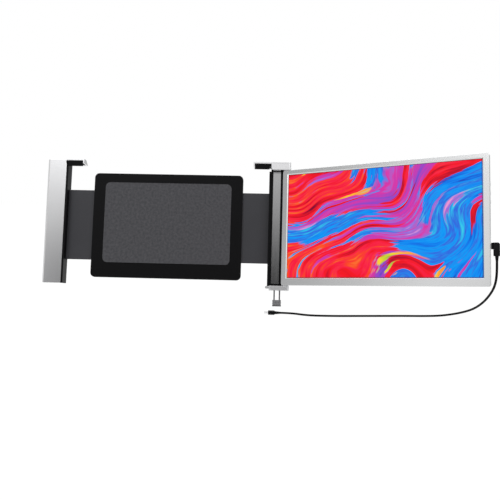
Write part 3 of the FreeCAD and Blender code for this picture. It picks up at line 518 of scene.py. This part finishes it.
# The lit picture: paint strokes that sweep over the display in long folded ribbons. A pattern is
# its scale across the ribbons and along them, its shift, and its noise's detail and roughness.
picture = {
    "waves": (1.05, 1.0, 0.4),                # scale, detail and roughness of the broad waves
    "slant": 0.55,                            # rise of the ribbons from left to right
    "curl": 1.5,                              # how far the waves carry them
    "drift": 0.45,                            # how much a ribbon's length leans upward
    "sway": 0.6,                              # and how far the waves carry that
    "strokes": (17.0, 1.5, 0.0, 4.0, 0.6),
    "coolFields": (4.2, 0.75, 5.3, 2.0, 0.5),
    "violetFields": (4.2, 0.75, 23.7, 2.0, 0.5),
    "brightFields": (4.2, 0.75, 41.0, 3.0, 0.6),
    "cooler": 0.12,                           # how much more of the right side is cool
    "coolEdge": (0.58, 0.595),                # where a field begins and is full
    "violetEdge": (0.56, 0.58),
    "brightEdge": (0.67, 0.69),
    "tear": 0.55,                             # how far the strokes tear the fields' edges
    "tones": (0.7, 0.3),                      # shares of the strokes and the fields in the tone
    "spread": (0.33, 0.67),
    "warm": [
        (0.0, (0.1, 0.0, 0.03)), (0.14, (0.5, 0.0, 0.02)), (0.3, (0.9, 0.004, 0.012)),
        (0.44, (0.94, 0.012, 0.06)), (0.56, (0.95, 0.05, 0.015)), (0.68, (0.97, 0.16, 0.025)),
        (0.82, (0.9, 0.03, 0.09)), (1.0, (0.93, 0.42, 0.36)),
    ],
    "cool": [
        (0.0, (0.005, 0.01, 0.16)), (0.16, (0.008, 0.05, 0.5)), (0.32, (0.0, 0.2, 0.85)),
        (0.5, (0.0, 0.33, 0.92)), (0.64, (0.03, 0.12, 0.72)), (0.8, (0.02, 0.52, 0.86)),
        (1.0, (0.1, 0.75, 0.62)),
    ],
    "violet": [
        (0.0, (0.07, 0.01, 0.3)), (0.25, (0.2, 0.07, 0.6)), (0.45, (0.42, 0.05, 0.5)),
        (0.65, (0.72, 0.03, 0.36)), (0.85, (0.25, 0.16, 0.72)), (1.0, (0.86, 0.3, 0.62)),
    ],
    "bright": [
        (0.0, (0.02, 0.5, 0.3)), (0.3, (0.35, 0.62, 0.03)), (0.5, (0.98, 0.66, 0.03)),
        (0.7, (0.98, 0.3, 0.02)), (1.0, (0.1, 0.8, 0.6)),
    ],
    "rim": 0.0015,                            # unlit rim in metres, a little past the bezel
    "rimBlur": 0.0005,                        # its soft edge, as a share of the panel's height
    "rimColor": (0.0015, 0.0015, 0.0018),
    "panelColor": (0.004, 0.004, 0.005),
    "roughness": 0.3,
    "shine": 0.06,
}
noiseMiddle = 0.5  # the value that a noise lies about


def litPicture(look):
    made = Finish("display", look["panelColor"], look["roughness"])
    place = made.make("ShaderNodeUVMap", {"uv_map": "screen"}, {})
    split = made.make("ShaderNodeSeparateXYZ", {}, {0: place})
    across = Signal(made, split.socket.node.outputs[0])
    upward = Signal(made, split.socket.node.outputs[1])
    broad = made.noise(*look["waves"], vector=place)
    flow = upward - across * look["slant"] + broad * look["curl"]
    along = across + upward * look["drift"] - broad * look["sway"]

    def painted(pattern):
        # A pattern drawn out along the ribbons.
        acrossScale, alongScale, shift, detail, roughness = pattern
        spot = made.make("ShaderNodeCombineXYZ", {}, {
            0: flow * acrossScale + shift, 1: along * alongScale + shift,
        })
        return made.noise(1.0, detail, roughness, vector=spot)

    def inside(value, end, rim, blur):
        # 1 from the rim at 0 to the rim at the end, and 0 on both rims.
        start = made.bend(value, rim, rim + blur, 0, 1)
        return start * made.bend(value, end - rim - blur, end - rim, 1, 0)

    stroke = painted(look["strokes"])
    wide = painted(look["coolFields"])
    torn = (stroke - noiseMiddle) * look["tear"]
    tone = stroke * look["tones"][0] + wide * look["tones"][1]
    tone = made.bend(tone, *look["spread"], 0, 1)
    ramps = {
        name: made.make("ShaderNodeValToRGB", {"stops": look[name]}, {0: tone})
        for name in ("warm", "cool", "violet", "bright")
    }
    fields = (
        ("cool", wide + torn + across * look["cooler"]),
        ("violet", painted(look["violetFields"]) + torn),
        ("bright", painted(look["brightFields"]) + torn),
    )
    paint = ramps["warm"]
    for name, field in fields:
        paint = made.mixed(made.bend(field, *look[name + "Edge"], 0, 1), paint, ramps[name])
    low, high = localBox("lcd_panel", screenFrame)
    size = high[2] - low[2]
    rim = look["rim"] / size
    lit = (
        inside(across, (high[0] - low[0]) / size, rim, look["rimBlur"])
        * inside(upward, 1.0, rim, look["rimBlur"])
    )
    made.put("Emission Color", made.mixed(lit, look["rimColor"], paint))
    made.put("Emission Strength", 1.0)
    made.put("Specular IOR Level", look["shine"])
    finishes["display"] = made


litPicture(picture)

finishOf = {  # pieces with a finish other than their slot's own
    "right_bottom_bracket": "bracket_silver",
    # the rear pieces take the silver copy that is darkened as painted shade
    "carrier_rear_cover": "rear_silver_shaded",
    "screen_back_cover": "rear_silver_shaded",
    "power_button": "screen_silver",
    "menu_up_button": "screen_silver",
    "menu_down_button": "screen_silver",
}


def dress(piece, node):
    slot = slotOf[node]
    piece.data.materials.clear()
    piece.data.materials.append(finishes[finishOf.get(node, slot)].material)


def standFor(piece, node):
    # A rigid piece that is dressed as a node of the frame, moves with its body and replaces it.
    dress(piece, node)
    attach(piece, bodyOf[node])
    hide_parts(node)
    return piece


for name, node in nodes.items():
    slots = node.material_slots
    for place in slots:
        place.material = finishes[slotOf[name]].material
    if not slots:
        node.data.materials.append(finishes[slotOf[name]].material)
print("finishes made:", len(finishes))

# Pieces of the frame whose edges are rounded as on the real object, by these radii in metres.
edgeRadii = {
    "lid_pad": 0.00025,
    "carrier_front_plate": 0.0003,
    "carrier_rear_cover": 0.0003,
    "left_slide_plate": 0.0002,
    "right_slide_plate": 0.0002,
    "left_side_shell": 0.0004,
    "left_side_liner": 0.0003,
    "left_clip_bar": 0.00035,
    "left_clip_block": 0.0005,
    "spine_housing": 0.0004,
    "spine_insert": 0.0002,
    "right_side_liner": 0.0003,
    "right_side_cover": 0.0003,
    "right_top_bracket": 0.0004,
    "right_clip_bar": 0.00035,
    "right_clip_block": 0.0005,
    "right_bottom_bracket": 0.0004,
    "leg_rods": 0.0002,
    "leg_yoke": 0.0002,
    "foot_block": 0.0002,
    "foot_pad": 0.0002,
    "screen_front_bezel": 0.00025,
    "screen_back_cover": 0.00025,
    "usb_c_ports": 0.0001,
    "mini_video_port": 0.0001,
    "power_button": 0.0002,
    "menu_up_button": 0.0002,
    "menu_down_button": 0.0002,
    "angle_plug_shell": 0.0001,
    "angle_plug_body": 0.0007,
    "desk_plug_shell": 0.0001,
    "desk_plug_body": 0.0005,
}
rounding = {
    "crowded": ("right_top_bracket",),  # edges too close together for the full radius
    "corner": 28,                       # edges flatter than this stay as they are, in degrees
    "flat": 0.6,                        # faces that meet at less than this are one, in degrees
    "merge": 1e-6,
    "segments": 2,
    "weight": 100,
}


def softened(node, radius, look):
    # A copy of the node with its flat faces made whole again and its edges rounded.
    mesh = nodes[node].data.copy()
    work = bmesh.new()
    work.from_mesh(mesh)
    bmesh.ops.remove_doubles(work, verts=work.verts, dist=look["merge"])
    bmesh.ops.dissolve_limit(
        work, angle_limit=math.radians(look["flat"]), verts=work.verts, edges=work.edges
    )
    work.to_mesh(mesh)
    work.free()
    makeSmooth(mesh)
    piece = addObject(node + "_finished", mesh)
    bevel = piece.modifiers.new("edges", "BEVEL")
    bevel.width = radius
    bevel.segments = look["segments"]
    bevel.limit_method = "ANGLE"
    bevel.angle_limit = math.radians(look["corner"])
    bevel.use_clamp_overlap = node in look["crowded"]
    flatten = piece.modifiers.new("normals", "WEIGHTED_NORMAL")
    flatten.mode = "FACE_AREA"
    flatten.weight = look["weight"]
    return standFor(piece, node)


softPieces = {node: softened(node, radius, rounding) for node, radius in edgeRadii.items()}
print("edges rounded on", len(softPieces), "pieces")

# The lit panel: a flat slab whose faces carry the picture's own map.
film = {"rows": 24, "columns": 40}


def litPanel(look):
    # Two flat grids, point(i, j) = (across(j), depth, upward(i)), and a rim between their edges.
    # The map is the place on the panel, with the panel's height as 1.
    low, high = localBox("lcd_panel", screenFrame)
    across = np.linspace(low[0], high[0], look["columns"])
    upward = np.linspace(low[2], high[2], look["rows"])
    spread, rise = np.meshgrid(across, upward)
    front, back = (
        np.stack([spread, np.full_like(spread, depth), rise], axis=-1)
        for depth in (low[1], high[1])
    )
    rim = np.stack([
        np.concatenate([layer[0, :-1], layer[:-1, -1], layer[-1, :0:-1], layer[:0:-1, 0]])
        for layer in (front, back)
    ])
    panel = skinned("display_panel", [
        (toWorld(front, screenFrame), False, False),
        (toWorld(back[::-1], screenFrame), False, False),
        (toWorld(rim, screenFrame), True, False),
    ])
    mesh = panel.data
    flat = ((toLocal(meshPoints(mesh), screenFrame) - low) / (high[2] - low[2]))[:, [0, 2]]
    chart = mesh.uv_layers.new(name="screen")
    corner = np.zeros(len(mesh.loops), int)
    mesh.loops.foreach_get("vertex_index", corner)
    chart.data.foreach_set("uv", flat[corner].ravel())
    standFor(panel, "lcd_panel")


litPanel(film)
print("display panel lit")

# A screw: a turned head with a cross recess, on a plain shank with a tapered tip.
screw = {
    "slotHalf": 0.24,     # half width of the cross's arms, as a share of the head's radius
    "armReach": 0.62,     # reach of the arms, as a share of the head's radius
    "recess": 0.55,       # depth of the recess, as a share of the head's height
    "mouthDeep": 0.06,    # depth of its rounded mouth, as a share of the head's height
    "mouth": 0.94,        # width of the cross below the mouth, as a share of its width at the top
    "floor": 0.8,         # and at the recess's floor
    "middle": 0.05,       # and at the floor's last ring
    "edge": 0.12,         # rounding of the head's rim, as a share of its radius
    "soften": 0.3,        # middle of that rounding, as a share of it
    "tip": 0.6,           # radius of the shank's tip, as a share of the shank's
    "taper": 0.4,         # length of the tip's taper, as a share of the shank's radius
    "around": 40,
    "sharp": 30,          # edges steeper than this stay sharp, in degrees
}
leastSine = 1e-6  # keeps a division from ending at infinity

# Each set of screws: its frame, the axis of its heads (1 is back, 2 is up), the height of a head
# in metres, and the shank's radius as a share of the head's.
screwSets = {
    "carrier_screws": (lidFrame, 1, 0.0012, 0.6),
    "left_arm_screws": (lidFrame, 1, 0.0012, 0.6),
    "right_arm_screws": (lidFrame, 1, 0.0012, 0.6),
    "side_cover_screws": (lidFrame, 1, 0.0012, 0.6),
    "left_clip_screws": (lidFrame, 2, 0.0012, 0.6),
    "right_clip_screws": (lidFrame, 2, 0.0012, 0.6),
    "bracket_screws": (lidFrame, 2, 0.0012, 0.6),
    "screen_screws": (screenFrame, 1, 0.0007, 0.53),
}


def screwGrid(centre, along, radius, high, shankRadius, length, look):
    # Rings from the shank's tip up to the head's rim and down into the recess. The recess is a
    # cross: its edge lies min(reach, half width / sine) from the middle, by the angle to an arm.
    angle = np.linspace(0, 2 * math.pi, look["around"], endpoint=False)
    toArm = np.abs((angle + math.pi / 4) % (math.pi / 2) - math.pi / 4)
    width = look["slotHalf"] / np.maximum(np.sin(toArm), leastSine)
    cross = np.minimum(look["armReach"], width) * radius
    ring = np.ones(len(angle))
    edge = look["edge"] * radius
    inner = look["soften"] * edge
    floor = -look["recess"] * high
    rings = [
        (-high - length, look["tip"] * shankRadius * ring),
        (-high - length + look["taper"] * shankRadius, shankRadius * ring),
        (-high, shankRadius * ring),
        (-high, radius * ring),
        (-edge, radius * ring),
        (-inner, (radius - inner) * ring),
        (0.0, (radius - edge) * ring),
        (0.0, cross),
        (-look["mouthDeep"] * high, look["mouth"] * cross),
        (floor, look["floor"] * cross),
        (floor, look["middle"] * cross),
    ]
    first, second = sideways(along)
    around = np.cos(angle)[:, None] * first + np.sin(angle)[:, None] * second
    return np.stack([centre + height * along + size[:, None] * around for height, size in rings])


def screwSet(node, place, axis, headHigh, shankShare, look):
    # Redraws every screw of a node in its own solid's box. Heads on the second axis face the
    # back. On the third the upper heads face up, and the lower ones down.
    others = [index for index in range(3) if index != axis]
    parts = []
    for low, high in islands(node, place):
        facing = 1 if axis == 1 or high[2] > 0 else -1
        radius = (high - low)[others].min() / 2
        centre = (low + high) / 2
        centre[axis] = high[axis] if facing > 0 else low[axis]
        length = (high - low)[axis] - headHigh
        along = np.eye(3)[axis] * facing
        grid = screwGrid(centre, along, radius, headHigh, radius * shankShare, length, look)
        parts.append((toWorld(grid, place), True, True))
    standFor(skinned(node + "_turned", parts, look["sharp"]), node)


for node, (place, axis, headHigh, shankShare) in screwSets.items():
    screwSet(node, place, axis, headHigh, shankShare, screw)
print("screws turned")

# A strain relief: a tapering sleeve with soft rings.
sleeve = {
    "rings": 5,
    "relief": 0.0003,   # depth of the grooves between them, in metres
    "sharpness": 4,     # a higher power makes the grooves narrower
    "ringed": 0.97,     # share of the length that has rings
    "steps": 81,
    "around": 36,
    "sharp": 50,        # edges steeper than this stay sharp, in degrees
}


def ringedSleeve(name, node, start, along, length, rootRadius, look):
    # radius = straight taper from root to tip, less relief * sine(pi * rings * share) ** sharpness
    tipRadius = lead["diameter"] / 2 + lead["sleeveWall"]
    share = np.linspace(0, 1, look["steps"])
    taper = rootRadius + (tipRadius - rootRadius) * share
    groove = look["relief"] * np.sin(math.pi * look["rings"] * share) ** look["sharpness"]
    radius = taper - groove * (share < look["ringed"])
    profile = np.stack([share * length, radius], axis=-1)
    grid = turned(profile, start, along, look["around"])
    return standFor(skinned(name, [(grid, True, True)], look["sharp"]), node)


low, high = localBox("angle_plug_relief", screenFrame)
middle = (low + high) / 2
angleRelief = ringedSleeve(
    "angle_plug_sleeve", "angle_plug_relief",
    toWorld((middle[0], middle[1], high[2]), screenFrame), -up,
    high[2] - low[2], (high[0] - low[0]) / 2, sleeve,
)
low, high = localBox("desk_plug_relief", deskFrame)
middle = (low + high) / 2
deskRelief = ringedSleeve(
    "desk_plug_sleeve", "desk_plug_relief",
    (low[0], middle[1], middle[2]), (1, 0, 0),
    high[0] - low[0], (high[2] - low[2]) / 2, sleeve,
)

dress(cable, "cable")
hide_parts("cable")
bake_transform(cable)
print("lead finished")

# The studio: a pale floor, soft lamps and a shaded drum that only reflections see.
studio = {
    "floorColor": (0.9, 0.9, 0.9),
    "floorSize": 40.0,
    "floorWhite": 0.88,    # share of plain white in the floor that is seen
    "floorGlow": 1.07,     # and its strength
    "ambient": 0.62,       # the world's strength on surfaces
    "backdrop": 1.0,       # and where it is seen
    "drumRadius": 12.0,
    "drumSpan": (-0.7, 42),        # degrees above the floor where the drum starts and ends
    "drumGrid": (145, 62),         # its columns and rows
    "shadeRise": (12.7, 23.9),     # degrees where the lower shade ends and the upper one begins
    "shades": (  # degrees round the studio from the camera's side, lower shade, upper shade
        (-180, 0.65, 0.9), (-145, 0.35, 0.58), (-122, 0.63, 0.92), (-105, 1.04, 1.26),
        (-84, 0.9, 1.0), (-68, 0.7, 0.75), (-53, 0.5, 0.46), (-47, 0.66, 0.56),
        (-38, 0.98, 0.9), (-32, 1.1, 1.12), (-27, 0.62, 1.36), (-20, 0.29, 1.5),
        (0, 0.03, 1.2), (24, 0.6, 1.2), (36, 1.35, 1.4), (50, 1.2, 1.3),
        (62, 0.6, 0.9), (110, 0.5, 0.6), (180, 0.65, 0.9),
    ),
    "lamps": [
        {"place": (-0.9, -1.6, 1.9), "aim": (0.1, 0.0, 0.0), "size": 1.6, "power": 16.0},
        {"place": (1.7, -1.1, 1.5), "aim": (0.2, 0.0, 0.0), "size": 1.4, "power": 9.0},
        {"place": (0.2, 1.6, 1.8), "aim": (0.1, 0.0, 0.0), "size": 1.8, "power": 12.0},
    ],
}


def seenDirectly(tree):
    # 1 for rays that see the background: from the camera, mirrored or passed through.
    path = tree.nodes.new("ShaderNodeLightPath")
    total = path.outputs["Is Camera Ray"]
    for name in ("Is Glossy Ray", "Is Transmission Ray"):
        larger = tree.nodes.new("ShaderNodeMath")
        larger.operation = "MAXIMUM"
        tree.links.new(total, larger.inputs[0])
        tree.links.new(path.outputs[name], larger.inputs[1])
        total = larger.outputs[0]
    return total


def bareMaterial(name):
    # A material with nothing but its output.
    material = bpy.data.materials.new(name)
    material.use_nodes = True
    material.node_tree.nodes.remove(material.node_tree.nodes["Principled BSDF"])
    return material


def makeWorld(look):
    world = bpy.data.worlds.new("studio")
    bpy.context.scene.world = world
    world.use_nodes = True
    tree = world.node_tree
    plain = tree.nodes["Background"]
    white = tree.nodes.new("ShaderNodeBackground")
    for light, strength in ((plain, look["ambient"]), (white, look["backdrop"])):
        light.inputs["Color"].default_value = (1, 1, 1, 1)
        light.inputs["Strength"].default_value = strength
    mix = tree.nodes.new("ShaderNodeMixShader")
    tree.links.new(seenDirectly(tree), mix.inputs[0])
    tree.links.new(plain.outputs[0], mix.inputs[1])
    tree.links.new(white.outputs[0], mix.inputs[2])
    tree.links.new(mix.outputs[0], tree.nodes["World Output"].inputs["Surface"])


def makeFloor(look):
    half = look["floorSize"] / 2
    height = cadBox[0][2]
    square = ((-half, -half), (half, -half), (half, half), (-half, half))
    mesh = bpy.data.meshes.new("floor")
    mesh.from_pydata([(*corner, height) for corner in square], [], [(0, 1, 2, 3)])
    material = bareMaterial("floor")
    tree = material.node_tree
    diffuse = tree.nodes.new("ShaderNodeBsdfDiffuse")
    diffuse.inputs["Color"].default_value = (*look["floorColor"], 1)
    glow = tree.nodes.new("ShaderNodeEmission")
    glow.inputs["Strength"].default_value = look["floorGlow"]
    share = tree.nodes.new("ShaderNodeMath")
    share.operation = "MULTIPLY"
    tree.links.new(seenDirectly(tree), share.inputs[0])
    share.inputs[1].default_value = look["floorWhite"]
    mix = tree.nodes.new("ShaderNodeMixShader")
    tree.links.new(share.outputs[0], mix.inputs[0])
    tree.links.new(diffuse.outputs[0], mix.inputs[1])
    tree.links.new(glow.outputs[0], mix.inputs[2])
    tree.links.new(mix.outputs[0], tree.nodes["Material Output"].inputs["Surface"])
    mesh.materials.append(material)
    addObject("floor", mesh)


def makeLamps(look):
    for index, lamp in enumerate(look["lamps"]):
        data = bpy.data.lights.new("lamp" + str(index), "AREA")
        data.size = lamp["size"]
        data.energy = lamp["power"]
        light = bpy.data.objects.new("lamp" + str(index), data)
        bpy.context.scene.collection.objects.link(light)
        back = unit(np.array(lamp["place"]) - np.array(lamp["aim"]))
        right = unit(np.cross((0, 0, 1), back))
        axes = Matrix(np.stack([right, np.cross(back, right), back]).tolist()).transposed()
        light.matrix_world = Matrix.Translation(lamp["place"]) @ axes.to_4x4()


def makeDrum(look):
    # A shaded drum round the studio: point(angle, rise) = radius * (sin, -cos, tan(rise)). Only
    # reflections see it. Its shade blends from the lower to the upper row of values as it rises.
    columns, rows = look["drumGrid"]
    angle = np.linspace(-180, 180, columns)
    rise = np.linspace(*look["drumSpan"], rows)
    spread, lift = np.meshgrid(np.radians(angle), np.radians(rise))
    grid = look["drumRadius"] * np.stack([np.sin(spread), -np.cos(spread), np.tan(lift)], axis=-1)
    drum = skinned("drum", [(grid[:, :-1], True, False)])
    points = meshPoints(drum.data)
    around = np.degrees(np.arctan2(points[:, 0], -points[:, 1]))
    height = np.degrees(np.arctan2(points[:, 2], look["drumRadius"]))
    start, end = look["shadeRise"]
    share = np.clip((height - start) / (end - start), 0, 1)
    azimuth, lowShade, highShade = np.array(look["shades"]).T
    low = np.interp(around, azimuth, lowShade)
    high = np.interp(around, azimuth, highShade)
    shade = drum.data.attributes.new("shade", "FLOAT", "POINT")
    shade.data.foreach_set("value", (low + (high - low) * share).astype(np.float32))
    material = bareMaterial("drum")
    tree = material.node_tree
    glow = tree.nodes.new("ShaderNodeEmission")
    value = tree.nodes.new("ShaderNodeAttribute")
    value.attribute_name = "shade"
    tree.links.new(value.outputs["Fac"], glow.inputs["Strength"])
    tree.links.new(glow.outputs[0], tree.nodes["Material Output"].inputs["Surface"])
    drum.data.materials.append(material)
    drum.visible_camera = False
    drum.visible_diffuse = False
    drum.visible_transmission = False
    drum.visible_shadow = False


makeWorld(studio)
makeFloor(studio)
makeLamps(studio)
makeDrum(studio)
bpy.context.scene.view_settings.view_transform = "Standard"
print("studio set")
